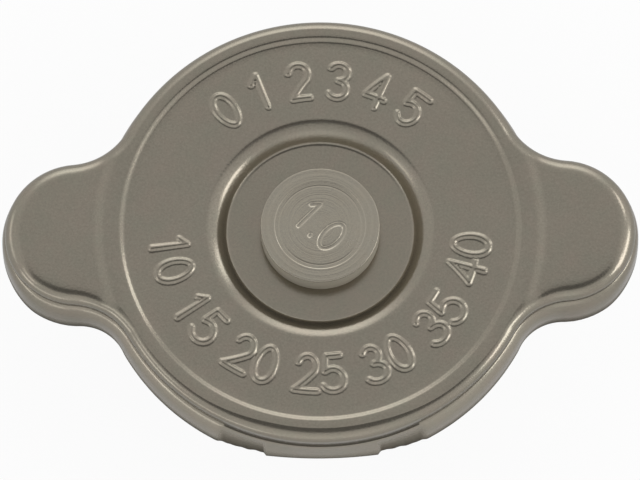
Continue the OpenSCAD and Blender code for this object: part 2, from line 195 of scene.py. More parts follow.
shell = {
    "bodyR": 23.0, "earX": 25.2, "earR": 7.7, "rootR": 7.0, "rootDraw": 0.25, "sheet": 0.8, "columns": 720,
    "holeR": 3.0, "recessD": 1.45, "discR": 20.68, "stepW": 0.74, "ridgeH": 0.3,
    "fallIn": 22.4, "fallOut": 23.8, "rollR": 1.2, "earRollR": 1.85, "tighten": 0.3,
    "skirtH": 7.8, "creaseH": 2.3, "groove": 0.2, "flare": 0.62, "tipFlare": 0.6, "wallOut": 0.05,
    "lugHalf": 15.0, "lugEase": 0.5, "lugReach": 3.6, "lugDrop": 0.2,
    "notchHalf": 27.0, "notchEase": 2.2, "notchRise": 0.5, "notchSpread": 0.4,
    "edgeJag": 0.3, "jagWaves": (47, 29, 113),
    # rows over the figures, the step, the outer fall and the underside of the recess
    "figureRows": 46, "stepRows": 8, "fallRows": 6, "underRows": 9,
    # fall of the recess: radius and slope in degrees, from the face inwards
    "recessFall": [(11.92, 8), (11.8, 15), (11.67, 19), (11.52, 22), (11.27, 24.5), (11.02, 27), (10.87, 31),
                   (10.74, 37), (10.57, 41), (10.3, 43), (10.1, 44), (9.98, 44), (9.9, 41), (9.83, 35),
                   (9.77, 29), (9.71, 23), (9.64, 16), (9.56, 8), (9.48, 2), (9.4, 0)],
    # rolled edge on the near side: slope in degrees and share of its width, gentle at first and then tight
    "rollFall": [(0, 0), (1, 0.26), (8, 0.38), (20, 0.6), (35, 0.77), (60, 0.93), (90, 1)],
    "rollTurns": [0, 4, 8, 12, 16, 20, 25, 30, 36, 44, 52, 60, 70, 80, 90],
}
faceZ = heights("cap_shell")[1] - shell["ridgeH"]
print("ear face at", round(faceZ, 3), "mm")

marks = {
    "upper": "012345", "upperFrom": 134.0, "upperTo": 46.0, "upperBase": 14.4, "upperTop": 18.1,
    "lower": "10 15 20 25 30 35 40", "lowerFrom": 181.0, "lowerTo": 358.0,
    "lowerBase": 17.7, "lowerTop": 13.9, "stroke": 0.24, "bevel": 0.2, "rise": 0.22, "gap": 0.55,
}


def rimPlan(theta):
    # plan of the rim at each angle: round ear end, hollow root and round body as tangent arcs, worked out
    # for one quarter and mirrored; gives x, y, outward normal, roll radius and how far the root draws in
    s = shell
    body, ear, root, earX = s["bodyR"], s["earR"], s["rootR"], s["earX"]
    cx = ((body + root) ** 2 - (ear + root) ** 2 + earX ** 2) / (2 * earX)
    cy = math.sqrt((body + root) ** 2 - cx ** 2)
    tipEnd, rootEnd = math.atan2(cy, cx - earX), math.atan2(cy, cx)
    tipSteps, rootSteps, bodySteps = 900, 500, 900
    a = np.linspace(0, tipEnd, tipSteps)
    b = np.linspace(tipEnd, rootEnd, rootSteps)[1:]
    c = np.linspace(rootEnd, math.pi / 2, bodySteps)[1:]
    angle = np.concatenate([a, b, c])
    x = np.concatenate([earX + ear * np.cos(a), cx - root * np.cos(b), body * np.cos(c)])
    y = np.concatenate([ear * np.sin(a), cy - root * np.sin(b), body * np.sin(c)])
    share = (tipEnd - b) / (tipEnd - rootEnd)
    roll = np.concatenate([np.full(a.size, s["earRollR"]),
                           s["earRollR"] + (s["rollR"] - s["earRollR"]) * share, np.full(c.size, s["rollR"])])
    draw = np.concatenate([0 * a, s["rootDraw"] * np.sin(math.pi * share), 0 * c])
    nx, ny = np.cos(angle), np.sin(angle)
    polar = np.arctan2(y - roll * ny, x - roll * nx)
    folded = np.arccos(np.abs(np.cos(theta)))
    tiny = 1e-12  # keeps each sign from being 0
    signX, signY = np.sign(np.cos(theta) + tiny), np.sign(np.sin(theta) + tiny)
    pick = lambda values: np.interp(folded, polar, values)
    normal = np.stack([pick(nx), pick(ny)])
    normal /= np.hypot(normal[0], normal[1])
    return pick(x) * signX, pick(y) * signY, normal[0] * signX, normal[1] * signY, pick(roll), pick(draw)


def figureRise(theta, radius):
    # raised figures: distance from each face point to the nearest stroke, eased from full height to none
    m = marks
    best = np.full(np.broadcast(theta, radius).shape, farAway)
    margin, aside = 0.8, 0.75  # mm past a figure's foot and top, and share of its height beside it, that count
    for row in ("upper", "lower"):
        text, start, end, base, top = (m[row + part] for part in ("", "From", "To", "Base", "Top"))
        high = abs(top - base)
        mid = 0.5 * (top + base)
        along = np.sign(end - start)
        widths = np.array([m["gap"] if ch == " " else 1.0 for ch in text])
        centres = start + (end - start) * (np.cumsum(widths) - 0.5 * widths) / widths.sum()
        v = (radius - base) / np.sign(top - base)
        for ch, centre in zip(text, centres):
            if ch == " ":
                continue
            turn = (theta - math.radians(centre) + math.pi) % (2 * math.pi) - math.pi
            u = along * turn * mid + 0 * v
            near = (np.abs(u) < aside * high) & (v > -margin) & (v < high + margin)
            lines = [line * high for line in figures[ch]]
            best[near] = np.minimum(best[near], segmentDistance(u[near], v[near], lines))
    return m["rise"] * smooth((m["stroke"] + m["bevel"] - best) / (2 * m["bevel"]))


def recessLine(steps, thick=0.0):
    # recess section from the face to its floor as (radius, depth): the listed slopes summed up along the
    # radius and scaled to the full depth; thick moves it along its normal for the underside
    s = shell
    fine = 400
    listR, listSlope = np.array(s["recessFall"]).T
    r = np.interp(np.linspace(0, 1, fine), np.linspace(0, 1, listR.size), listR)
    slope = np.radians(np.interp(-r, -listR, listSlope))
    drop = np.tan(slope)
    depth = np.concatenate([[0], np.cumsum(0.5 * (drop[1:] + drop[:-1]) * -np.diff(r))])
    depth *= s["recessD"] / depth[-1]
    pick = np.linspace(0, fine - 1, steps).astype(int)
    return (r + thick * np.sin(slope))[pick], (depth + thick * np.cos(slope))[pick]


def rollLine(near):
    # rolled edge as shares of its width (outward, down): a quarter circle, which gives way on the near side
    # to the listed slopes summed up, the last part by its sine
    angle, place = np.array(shell["rollFall"]).T
    a = np.array(shell["rollTurns"])
    turn = np.radians(a)
    share = np.interp(a, angle, place)
    steep = math.sin(math.radians(angle[-2]))
    last = (np.sin(turn) - steep) / (1 - steep)
    share = np.where(a > angle[-2], place[-2] + (1 - place[-2]) * last, share)
    drop = np.concatenate([[0], np.cumsum(np.tan(0.5 * (turn[1:] + turn[:-1])) * np.diff(share))])
    blend = lambda circle, listed: circle[:, None] + (listed - circle)[:, None] * near
    return blend(np.sin(turn), share), blend(1 - np.cos(turn), drop)


def skirtForms():
    # section below the rolled edge as (outward offset, depth) rows, for the plain, notched and lugged skirt:
    # a groove under the edge, a ledge out of it, then the bulged, notched or folded skirt and the way back in
    s = shell
    t, f, c, h, g, w = (s[key] for key in ("sheet", "flare", "creaseH", "skirtH", "groove", "wallOut"))
    lugB, notchB, reach = h + s["lugDrop"], h - s["notchRise"], s["lugReach"]
    lugT = lugB - t
    crease = [(-0.03, c - 0.4), (-0.1, c - 0.2), (0.04 - g, c - 0.03), (-g, c + 0.08)]
    deeper = [(-0.04, c - 0.4), (-0.13, c - 0.2), (-0.04 - g, c - 0.03), (-0.1 - g, c + 0.08)]
    inside = [(-t, t + 0.9), (-t - 0.08, t + 0.55), (-t - 0.25, t + 0.3), (-t - 0.5, t + 0.08), (-t - 0.8, t)]
    plain = [(-0.1, c + 0.12), (0.1, c + 0.32), (0.28, c + 0.58), (0.44, c + 0.92), (0.56, c + 1.4),
             (f, h - 2.6), (f, h - 1.6), (f - 0.03, h - 1), (f - 0.12, h - 0.4), (f - 0.26, h - 0.08),
             (f - 0.45, h), (f - t, h), (f - t - 0.03, h - 0.2), (f - t - 0.15, h - 3),
             (f - t - 0.2, c + 0.7), (-t, c + 0.2)]
    upper = [(-0.18, c + 0.12), (0.0, c + 0.16), (0.045, c + 0.3), (w, c + 0.7)]
    notch = upper + [(w, notchB - 2.4), (w, notchB - 1.6), (w, notchB - 1), (w, notchB - 0.6),
                     (0.04, notchB - 0.3), (0, notchB - 0.1), (-0.12, notchB - 0.02), (-0.35, notchB),
                     (-t + 0.08, notchB), (-t + 0.06, notchB - 0.7), (-t + w, notchB - 1.7), (-t, c + 1.2)]
    lug = upper + [(w, lugB - 3), (w, lugB - 1.9), (0.02, lugB - 1.4), (-0.1, lugB - 0.9),
                   (-0.33, lugB - 0.45), (-0.72, lugB - 0.12), (-1.25, lugB), (-reach, lugB), (-reach, lugT),
                   (-t - 0.5, lugT), (-t + w, lugT - 0.6), (-t, c + 1.2)]
    return np.array([crease + plain + inside, deeper + notch + inside, deeper + lug + inside])


def skirtSection(theta, draw, tip):
    # each skirt form eases into the next over its number of degrees; below the crease the root draws in,
    # the bulge lessens round an ear's tip and fades out along a notch, and a lug folds about a line between
    # its arc and its chord
    s = shell
    fromLug = np.degrees(np.arccos(np.abs(np.sin(theta))))
    inNotch = smooth((s["notchHalf"] - fromLug) / s["notchEase"] + 0.5)
    inLug = smooth((s["lugHalf"] - fromLug) / s["lugEase"] + 0.5)
    inGap = inNotch - inLug
    section = np.einsum("fn,frk->rnk", np.stack([1 - inNotch, inGap, inLug]), skirtForms())
    section[..., 0] *= np.where(section[..., 0] > 0, 1 - (1 - s["tipFlare"]) * tip, 1)
    fade = smooth((fromLug - s["lugHalf"]) / (s["notchHalf"] - s["lugHalf"]))
    chord = 0.5 * s["bodyR"] * (1 / np.cos(np.radians(np.minimum(fromLug, s["lugHalf"]))) - 1)
    spread = -draw * (1 - inNotch) + s["notchSpread"] * fade * inGap + chord * inLug
    depth = section[..., 1]
    below = (depth - s["creaseH"] - 0.2) / (s["skirtH"] - s["creaseH"] - 1.2)
    section[..., 0] += spread * np.clip(below, 0, 1)
    # the sheared edge of a notch is ragged: three waves round the rim shorten it unevenly
    slow, slower, quick = s["jagWaves"]
    jag = np.sin(theta * slow) * np.sin(theta * slower + 1.0) + 0.6 * np.sin(theta * quick + 0.5) + 0.3
    section[..., 1] -= s["edgeJag"] * 0.5 * (jag + 1) * inGap * smooth((depth - s["skirtH"] + 2.2) / 1.4)
    return section, inGap


def makeShell():
    # rows run from the rivet hole out over the face, round the rolled edge, down the skirt and back inside
    s = shell
    theta = evenAngles(s["columns"])
    x, y, nx, ny, roll, draw = rimPlan(theta)
    onBody = (s["earRollR"] - roll) / (s["earRollR"] - s["rollR"])
    roll = roll * (1 - s["tighten"] * onBody * smooth((np.abs(nx) - 0.2) / 0.4) * smooth((-ny - 0.3) / 0.3))
    reach = np.hypot(x - roll * nx, y - roll * ny)  # where the flat face ends on each ray
    fallIn, fallOut = s["fallIn"], s["fallOut"]
    ridge = lambda r: s["ridgeH"] * (1 - smooth((r - fallIn) / (fallOut - fallIn)))

    recessR, recessDepth = recessLine(len(s["recessFall"]))
    floorR = np.array([s["holeR"], 6.0, 8.4])
    flatR = np.concatenate([[12.1], np.linspace(13.4, 18.6, s["figureRows"]), [19.6]])
    step = np.linspace(0, 1, s["stepRows"])
    faceR = np.concatenate([floorR, recessR[::-1], flatR, s["discR"] + s["stepW"] * (step - 0.5)])
    rise = np.concatenate([0 * floorR - s["recessD"], -recessDepth[::-1], 0 * flatR,
                           s["ridgeH"] * smooth(step)])
    r = faceR[:, None] + 0 * theta
    figure = figureRise(theta[None, :], r)
    face = onRays(r, theta, faceZ + rise[:, None] + figure)

    # the outer fall keeps short of the rolled edge where that comes in at an ear's root
    k = np.linspace(0, 1, s["fallRows"])[:, None]
    r = np.minimum(fallIn + (fallOut - fallIn) * k, reach - 0.4 * (1.12 - k))
    fall = onRays(r, theta, faceZ + ridge(r))

    share, drop = rollLine(smooth((-ny - 0.25) / 0.5))
    off = roll * (share - 1)
    z = faceZ + ridge(reach) * (1 - share) - roll * drop
    rolled = np.stack([x + off * nx, y + off * ny, z], axis=-1)

    tip = smooth((np.abs(nx) - 0.55) / 0.4) * smooth((np.abs(x) - s["earX"]) / 2)
    section, inGap = skirtSection(theta, draw, tip)
    off, depth = section[..., 0], section[..., 1]
    skirt = np.stack([x + off * nx, y + off * ny, faceZ - depth], axis=-1)

    underR, underDepth = recessLine(s["underRows"], s["sheet"])
    underR = np.concatenate([[18.0], underR, [s["holeR"]]])
    underDepth = np.concatenate([[s["sheet"]], underDepth, [s["recessD"] + s["sheet"]]])
    under = onRays(underR[:, None], theta, faceZ - underDepth[:, None])

    points = np.concatenate([face, fall, rolled, skirt, under])
    piece = gridMesh("capShell", points, closeRows=True)
    # handling rubs the tops of the figures; round the body the skirt below the crease is painted lighter, a
    # painted reflection; each notch is darker and duller low down, and the foot of the skirt is painted shade,
    # darker and duller
    wearAndSheen, dullAndShade = np.zeros(points.shape[:2]), np.zeros(points.shape[:2])
    wearAndSheen[:len(face)] = 0.2 * figure / marks["rise"]
    first = len(face) + len(fall) + len(rolled)
    onSkirt = slice(first, first + len(skirt))
    # painted shade: over its lowest 2.4 mm the skirt's foot is darkened and dulled
    low = 0.9 * smooth((depth - s["skirtH"] + 2.4) / 1.2)
    # painted reflection: round the body the skirt below the crease is lightened, except at its foot
    wearAndSheen[onSkirt] = onBody * smooth((depth - s["creaseH"] - 0.1) / 0.2) * (1 - low)
    # the lower part of each notch and the painted shade at the foot share one darker, duller mask
    dullAndShade[onSkirt] = np.maximum(inGap * smooth((depth - s["creaseH"] - 0.6) / 2.6), low)
    setAttribute(piece, "wearAndSheen", wearAndSheen)
    setAttribute(piece, "dullAndShade", dullAndShade)
    print("cap shell:", len(piece.data.polygons), "faces")
    return piece


capShell = makeShell()
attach(capShell, "shell")
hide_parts("cap_shell")


# centre rivet: a turned profile carried round the axis, with a struck figure on its head

rivet = {
    "headR": 6.2, "edgeW": 0.2, "edgeRound": 0.17, "edgeRows": 4,
    "shankR": 2.95, "formedR": 4.4, "formedH": 0.9,
    "stepR": 4.7, "stepW": 0.1, "stepDepth": 0.05, "ringR": 4.32, "ringW": 0.06, "ringDepth": 0.025,
    "toolPitch": 0.23, "toolDepth": 0.0015, "columns": 320,
    "figure": "1.0", "figureTurn": -45.0, "figureHigh": 3.3, "figurePitch": 0.68, "pointWide": 0.5,
    "struck": 0.09, "stroke": 0.2, "bevel": 0.1,
}


def headDrop(x, y):
    # depth of the struck figure: distance to its strokes, read across a line turned on the head
    f = rivet
    turn = math.radians(f["figureTurn"])
    u = x * math.cos(turn) + y * math.sin(turn)
    v = -x * math.sin(turn) + y * math.cos(turn) + 0.5 * f["figureHigh"]
    widths = np.array([f["pointWide"] if ch == "." else 1.0 for ch in f["figure"]])
    widths = widths * f["figurePitch"] * f["figureHigh"]
    centres = np.cumsum(widths) - 0.5 * widths - 0.5 * widths.sum()
    best = np.full(x.shape, farAway)
    for ch, centre in zip(f["figure"], centres):
        lines = [line * f["figureHigh"] for line in figures[ch]]
        best = np.minimum(best, segmentDistance(u - centre, v, lines))
    return f["struck"] * smooth((f["stroke"] + f["bevel"] - best) / (2 * f["bevel"]))


def makeRivet():
    # head rows carry fine tool rings, a scribed ring and the step; below come the side, shank and formed head
    f = rivet
    seatZ = faceZ - shell["recessD"]
    formedZ, topZ = heights("centre_rivet")
    bellZ = formedZ + f["formedH"]
    edgeIn = f["headR"] - f["edgeW"]
    headR = np.concatenate([np.linspace(0.1, 4.1, 72), np.linspace(4.16, 4.95, 20),
                            np.linspace(5.05, edgeIn, 14)])
    rings = f["toolDepth"] * np.cos(2 * math.pi * headR / f["toolPitch"])
    scribed = -f["ringDepth"] * np.exp(-((headR - f["ringR"]) / f["ringW"]) ** 2)
    sunk = -f["stepDepth"] * (1 - smooth((headR - f["stepR"]) / f["stepW"]))
    theta = evenAngles(f["columns"])
    x, y = headR[:, None] * np.cos(theta), headR[:, None] * np.sin(theta)
    z = topZ - f["toolDepth"] + (rings + scribed + sunk)[:, None] - headDrop(x, y)
    head = np.stack([x, y, z], axis=-1)
    side = roundedProfile([(edgeIn, topZ, 0), (f["headR"], topZ, f["edgeRound"]), (f["headR"], seatZ, 0.05),
                           (f["shankR"], seatZ, 0), (f["shankR"], bellZ, 0), (f["formedR"], bellZ, 0.06),
                           (f["formedR"], formedZ, 0.55), (0, formedZ, 0)])[1:-1]
    points = np.concatenate([head, around(side, f["columns"])])
    middle = np.array([[0, 0, head[0, :, 2].mean()]])
    piece = gridMesh("centreRivet", points, capFirst=middle, capLast=np.array([[0, 0, formedZ]]))
    # below its rounded edge, the side of the head is left rough from the bar
    dullAndShade = np.zeros(points.shape[:2])
    dullAndShade[len(head) + f["edgeRows"]:] = 1.0
    setAttribute(piece, "dullAndShade", dullAndShade)
    print("centre rivet:", len(piece.data.polygons), "faces")
    return piece


centreRivet = makeRivet()
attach(centreRivet, "shell")
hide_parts("centre_rivet")


# spring diaphragm, upper gasket and swivel washer, all turned profiles

diaphragm = {"boreR": 3.25, "dishIn": 11.5, "dishOut": 13.0, "rimR": 19.0, "sheet": 0.4, "rimDrop": 0.7,
             "dish": 0.8, "lean": 0.1}
hubZ = heights("spring_diaphragm")[1] - diaphragm["sheet"]
ringZ = hubZ - diaphragm["dish"]


def makeDiaphragm():
    # flat hub, an S-bend down to the ring and a turned-down rim
    d = diaphragm
    t, lean = d["sheet"], d["lean"]
    rimZ, rimIn = ringZ - d["rimDrop"], d["rimR"] - t
    return turnedPiece("springDiaphragm", [
        (d["boreR"], hubZ, 0.05), (d["dishIn"], hubZ, 0.6), (d["dishOut"], ringZ, 0.6), (rimIn, ringZ, 0.25),
        (rimIn, rimZ, 0.06), (d["rimR"], rimZ, 0.1), (d["rimR"], ringZ + t, 0.45),
        (d["dishOut"] + lean, ringZ + t, 0.6), (d["dishIn"] + lean, hubZ + t, 0.6),
        (d["boreR"], hubZ + t, 0.05)], 240)


upperRing = {"inR": 13.2, "outR": 18.2}
upperLow, upperHigh = heights("upper_gasket")
washer = {"boreR": 3.25, "rimR": 8.5}
washerLow, washerHigh = heights("swivel_washer")

springDiaphragm = makeDiaphragm()
upperGasket = turnedPiece("upperGasket", [
    (upperRing["inR"], upperLow, 0.25), (upperRing["outR"], upperLow, 0.25),
    (upperRing["outR"], upperHigh, 0.05), (upperRing["inR"], upperHigh, 0.05)], 240)
swivelWasher = turnedPiece("swivelWasher", [
    (washer["boreR"], washerLow, 0.08), (washer["rimR"], washerLow, 0.1),
    (washer["rimR"], washerHigh, 0.1), (washer["boreR"], washerHigh, 0.08)])


# spring housing: a bell with four windows

bell = {
    "boreR": 3.25, "wallR": 12.0, "sheet": 0.6, "lipR": 9.8, "zoneLow": 9.6, "zoneHigh": 18.2,
    "windowW": 6.0, "windowH": 6.4, "windowRound": 1.1, "windowTurns": (45, 135, 225, 315),
    "straight": 0.7, "corner": 0.3, "sideSteps": 36, "wallRows": 7, "bendSteps": 7, "joinGap": 1e-7,
}


def windowLines(radius):
    # a window's rounded outline and the edge of its quarter of the wall, point for point, as (angle, height):
    # each side runs straight for most of its length and turns through half a corner at either end
    b = bell
    s = np.linspace(-1, 1, b["sideSteps"], endpoint=False)
    bend = np.sign(s) * np.clip((np.abs(s) - b["straight"]) / b["corner"], 0, 1) * math.pi / 4
    flat = np.clip(s / b["straight"], -1, 1)
    w, h, c = b["windowW"] / 2, b["windowH"] / 2, b["windowRound"]
    outX, outY = (w - c) + c * np.cos(bend), (h - c) * flat + c * np.sin(bend)
    topX, topY = (w - c) * flat + c * np.sin(bend), (h - c) + c * np.cos(bend)
    edgeX = np.concatenate([outX, -topX, -outX, topX])
    edgeY = np.concatenate([outY, topY, -outY, -topY])
    one = np.ones(s.size)
    boxX, boxY = np.concatenate([one, -s, -one, s]), np.concatenate([s, one, -s, -one])
    middle = 0.5 * sum(heights("main_spring"))  # windows sit at the middle of the main spring
    inner = np.stack([np.arcsin(edgeX / radius), middle + edgeY], axis=-1)
    zone = 0.5 * (b["zoneLow"] + b["zoneHigh"]) + 0.5 * (b["zoneHigh"] - b["zoneLow"]) * boxY
    outer = np.stack([boxX * math.pi / 4, zone], axis=-1)
    return inner[::-1], outer[::-1]


def makeBell():
    # each quarter of the wall is a ring of quads from its edge to its window, through the sheet and back
    # inside; the crown and the lip are turned strips that end on the quarters' edges, and equal points are
    # then joined
    b = bell
    low, high = heights("spring_housing")
    t, wallR = b["sheet"], b["wallR"]
    wallIn = wallR - t
    grids = []
    share = np.linspace(1, 0, b["wallRows"])[:, None, None]
    for turn in b["windowTurns"]:
        sheets = []
        for radius, order in ((wallR, 1), (wallIn, -1)):
            inner, outer = windowLines(radius)
            lines = (inner + (outer - inner) * share)[::order]
            angle = lines[..., 0] + math.radians(turn)
            sheets.append(np.stack([radius * np.cos(angle), radius * np.sin(angle), lines[..., 1]], axis=-1))
        grids.append(np.concatenate(sheets))
    crown = [(wallR, b["zoneHigh"], 0), (wallR, high, 1.7), (b["boreR"], high, 0.06),
             (b["boreR"], high - t, 0.06), (wallIn, high - t, 1.1), (wallIn, b["zoneHigh"], 0)]
    lip = [(wallIn, b["zoneLow"], 0), (wallIn, low + t, 0.1), (b["lipR"], low + t, 0.08),
           (b["lipR"], low, 0.08), (wallR, low, 0.5), (wallR, b["zoneLow"], 0)]
    for corners in (crown, lip):
        profile = roundedProfile(corners, b["bendSteps"])
        grids.append(around(profile[::-1], 4 * b["sideSteps"])[:, ::-1])
    verts, faces = [], []
    for grid in grids:
        quads, index = gridFaces(*grid.shape[:2])
        faces += (np.array(quads) + sum(len(v) for v in verts)).tolist()
        verts.append(grid.reshape(-1, 3))
    piece = newPiece("springHousing", np.concatenate(verts), faces)
    joined = bmesh.new()
    joined.from_mesh(piece.data)
    bmesh.ops.remove_doubles(joined, verts=joined.verts, dist=b["joinGap"])
    bmesh.ops.recalc_face_normals(joined, faces=joined.faces)
    openEdges = sum(1 for e in joined.edges if len(e.link_faces) != 2)
    joined.to_mesh(piece.data)
    joined.free()
    piece.data.set_sharp_from_angle(angle=math.radians(creaseAngle))
    print("spring housing:", len(piece.data.polygons), "faces,", openEdges, "open edges")
    return piece


springHousing = makeBell()


# springs: round wire along a coil whose end turns lie close and are ground flat

mainCoil = {"radius": 9.9, "wire": 1.3, "turns": 4.5, "perTurn": 64, "sides": 20}
vacuumCoil = {"radius": 2.5, "wire": 0.45, "turns": 5.0, "perTurn": 40, "sides": 12}
coilEnds = {"gap": 0.05, "ground": 0.15, "sharp": 50.0}  # ground is a share of the wire


def makeCoil(name, coil, node):
    # wire centres rise slowly on the end turns and evenly between; the round wire is cut at both end planes
    low, high = heights(node)
    wire, turns = coil["wire"], coil["turns"]
    t = np.linspace(0, turns, int(turns * coil["perTurn"]) + 1)[:, None]
    close, ground = wire + coilEnds["gap"], coilEnds["ground"] * wire
    active = (high - low - 2 * ground - 2 * close) / (turns - 2)
    z = low + ground + close * np.minimum(t, 1) + active * np.clip(t - 1, 0, turns - 2)
    z = z + close * np.maximum(t - turns + 1, 0)
    a = evenAngles(coil["sides"])
    r = coil["radius"] + wire / 2 * np.cos(a)
    up = np.clip(z + wire / 2 * np.sin(a), low, high)
    points = np.stack([r * np.cos(2 * math.pi * t), r * np.sin(2 * math.pi * t), up], axis=-1)
    first, last = (points[i].mean(axis=0)[None] for i in (0, -1))
    piece = gridMesh(name, points, capFirst=first, capLast=last, sharp=coilEnds["sharp"])
    print(name, len(piece.data.polygons), "faces")
    return piece


mainSpring = makeCoil("mainSpring", mainCoil, "main_spring")
vacuumSpring = makeCoil("vacuumSpring", vacuumCoil, "vacuum_spring")


# pressure valve and vacuum valve, all turned profiles

valve = {
    "tubeR": 2.6, "cupR": 9.3, "collarR": 11.1, "sheet": 0.7, "backingR": 13.0, "gasketR": 14.0, "lipW": 3.0,
    "ferruleR": 9.6, "ferruleBore": 1.9, "flange": 0.5, "swageT": 0.4, "swageW": 1.0,
    "discR": 5.0, "discT": 0.6, "stemR": 1.0, "grooveR": 0.75, "sealInset": 0.2,
}
cupLow, cupHigh = heights("valve_plate")
backLow, backHigh = heights("backing_plate")
gasketLow, gasketHigh = heights("main_gasket")
ferruleLow, ferruleHigh = heights("valve_ferrule")
discLow, stemHigh = heights("vacuum_valve")
sealLow, sealHigh = heights("vacuum_gasket")
clipLow, clipHigh = heights("vacuum_clip")


def makeValves():
    # each piece is a closed profile of (radius, height, rounding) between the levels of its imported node
    v = valve
    t, tubeR, bore, stemR, grooveR = v["sheet"], v["tubeR"], v["ferruleBore"], v["stemR"], v["grooveR"]
    base, swage, swageR = ferruleLow + v["flange"], ferruleHigh - v["swageT"], tubeR + v["swageW"]
    cupIn, lipIn = v["cupR"] - t, v["gasketR"] - v["lipW"]
    sealR, discHigh = v["discR"] - v["sealInset"], discLow + v["discT"]
    profiles = {
        "valvePlate": (200, [
            (tubeR, cupLow, 0.04), (v["cupR"], cupLow, 0.9), (v["cupR"], cupHigh - t, 0.12),
            (v["collarR"], cupHigh - t, 0.12), (v["collarR"], cupHigh, 0.15), (cupIn, cupHigh, 0.65),
            (cupIn, cupLow + t, 0.5), (tubeR, cupLow + t, 0.04)]),
        "backingPlate": (200, [
            (tubeR, backLow, 0.03), (v["backingR"], backLow, 0.06), (v["backingR"], backHigh, 0.22),
            (tubeR, backHigh, 0.03)]),
        "mainGasket": (240, [
            (tubeR, base, 0.03), (lipIn, base, 0.4), (lipIn, gasketLow, 0.4), (v["gasketR"], gasketLow, 0.4),
            (v["gasketR"], gasketHigh, 0.3), (tubeR, gasketHigh, 0.03)]),
        "valveFerrule": (200, [
            (bore, ferruleLow, 0.1), (v["ferruleR"], ferruleLow, 0.14), (v["ferruleR"], base, 0.1),
            (tubeR, base, 0), (tubeR, swage, 0), (swageR, swage, 0.05), (swageR, ferruleHigh, 0.28),
            (bore, ferruleHigh, 0.12)]),
        "vacuumValve": (120, [
            (0, discLow, 0), (v["discR"], discLow, 0.3), (v["discR"], discHigh, 0.06),
            (stemR, discHigh, 0.06), (stemR, clipLow, 0.03), (grooveR, clipLow, 0), (grooveR, clipHigh, 0),
            (stemR, clipHigh, 0.03), (stemR, stemHigh, 0.22), (0, stemHigh, 0)]),
        "vacuumGasket": (120, [
            (stemR, sealLow, 0.03), (sealR, sealLow, 0.08), (sealR, sealHigh, 0.08),
            (stemR, sealHigh, 0.03)]),
    }
    return {name: turnedPiece(name, corners, columns) for name, (columns, corners) in profiles.items()}


valves = makeValves()
print("valve pieces:", ", ".join(sorted(valves)))

for piece, body, node, slotName in (
    (springDiaphragm, "housing", "spring_diaphragm", "plate_steel"),
    (upperGasket, "housing", "upper_gasket", "seal_rubber"),
    (swivelWasher, "housing", "swivel_washer", "brass"),
    (springHousing, "housing", "spring_housing", "plate_steel"),
    (mainSpring, "housing", "main_spring", "spring_steel"),
    (valves["valvePlate"], "pressure_valve", "valve_plate", "plate_steel"),
    (valves["backingPlate"], "pressure_valve", "backing_plate", "plate_steel"),
    (valves["mainGasket"], "pressure_valve", "main_gasket", "seal_rubber"),
    (valves["valveFerrule"], "pressure_valve", "valve_ferrule", "brass"),
    (vacuumSpring, "pressure_valve", "vacuum_spring", "spring_steel"),
    (valves["vacuumValve"], "vacuum_valve", "vacuum_valve", "brass"),
    (valves["vacuumGasket"], "vacuum_valve", "vacuum_gasket", "seal_rubber"),
):
    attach(piece, body)
    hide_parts(node)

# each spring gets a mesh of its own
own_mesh(mainSpring)
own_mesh(vacuumSpring)


# materials

bumpDistance = 0.00005


def nodeGroup(name, inputs, outputs):
    # an empty shader group with named sockets, and its two ends; an input without a number takes a vector
    group = bpy.data.node_groups.new(name, "ShaderNodeTree")
    for label, value in inputs.items():
        kind = "NodeSocketVector" if value is None else "NodeSocketFloat"
        socket = group.interface.new_socket(label, in_out="INPUT", socket_type=kind)
        if value is not None:
            socket.default_value = value
    for label in outputs:
        group.interface.new_socket(label, in_out="OUTPUT", socket_type="NodeSocketFloat")
    return group, group.nodes.new("NodeGroupInput"), group.nodes.new("NodeGroupOutput")


def addNode(tree, kind, **settings):
    # a node; each setting goes to the socket of that name, or else to the node's own property
    node = tree.nodes.new(kind)
    for key, value in settings.items():
        if key in node.inputs:
            node.inputs[key].default_value = value
        else:
            setattr(node, key, value)
    return node


def mathNode(tree, operation, a, b=0.0):
    # one sum on two numbers or sockets
    node = addNode(tree, "ShaderNodeMath", operation=operation)
    for socket, value in zip(node.inputs, (a, b)):
        if isinstance(value, (int, float)):
            socket.default_value = value
        else:
            tree.links.new(value, socket)
    return node.outputs[0]


def addShare(tree, total, mask, share):
    # total plus share times mask
    return mathNode(tree, "ADD", total, mathNode(tree, "MULTIPLY", mask, share))


def addNoise(tree, vector, scale, detail, roughness):
    # value of a noise at vector, from 0 to 1
    node = addNode(tree, "ShaderNodeTexNoise", Scale=scale, Detail=detail, Roughness=roughness)
    tree.links.new(vector, node.inputs["Vector"])
    return node.outputs[0]


def mixColours(tree, share, first, second):
    # colour that runs from first to second by share
    mix = addNode(tree, "ShaderNodeMix", data_type="RGBA")
    ends = [socket for socket in mix.inputs if socket.name in ("A", "B") and socket.type == "RGBA"]
    for socket, colour in zip(ends, (first, second)):
        socket.default_value = colour + (1.0,)
    tree.links.new(share, mix.inputs[0])
    return [socket for socket in mix.outputs if socket.type == "RGBA"][0]


def readMask(tree, name):
    # a piece's own attribute, from 0 to 1
    return addNode(tree, "ShaderNodeAttribute", attribute_name=name).outputs["Fac"]


def addBump(tree, height, strength, bsdf):
    # height as a fine bump of the surface
    node = addNode(tree, "ShaderNodeBump", Strength=strength, Distance=bumpDistance)
    tree.links.new(height, node.inputs["Height"])
    tree.links.new(node.outputs[0], bsdf.inputs["Normal"])


def newMaterial(name):
    # a material, its tree, its surface shader and the piece's Object coordinates
    material = bpy.data.materials.new(name)
    material.use_nodes = True
    tree = material.node_tree
    coords = addNode(tree, "ShaderNodeTexCoord")
    return material, tree, tree.nodes["Principled BSDF"], coords.outputs["Object"]


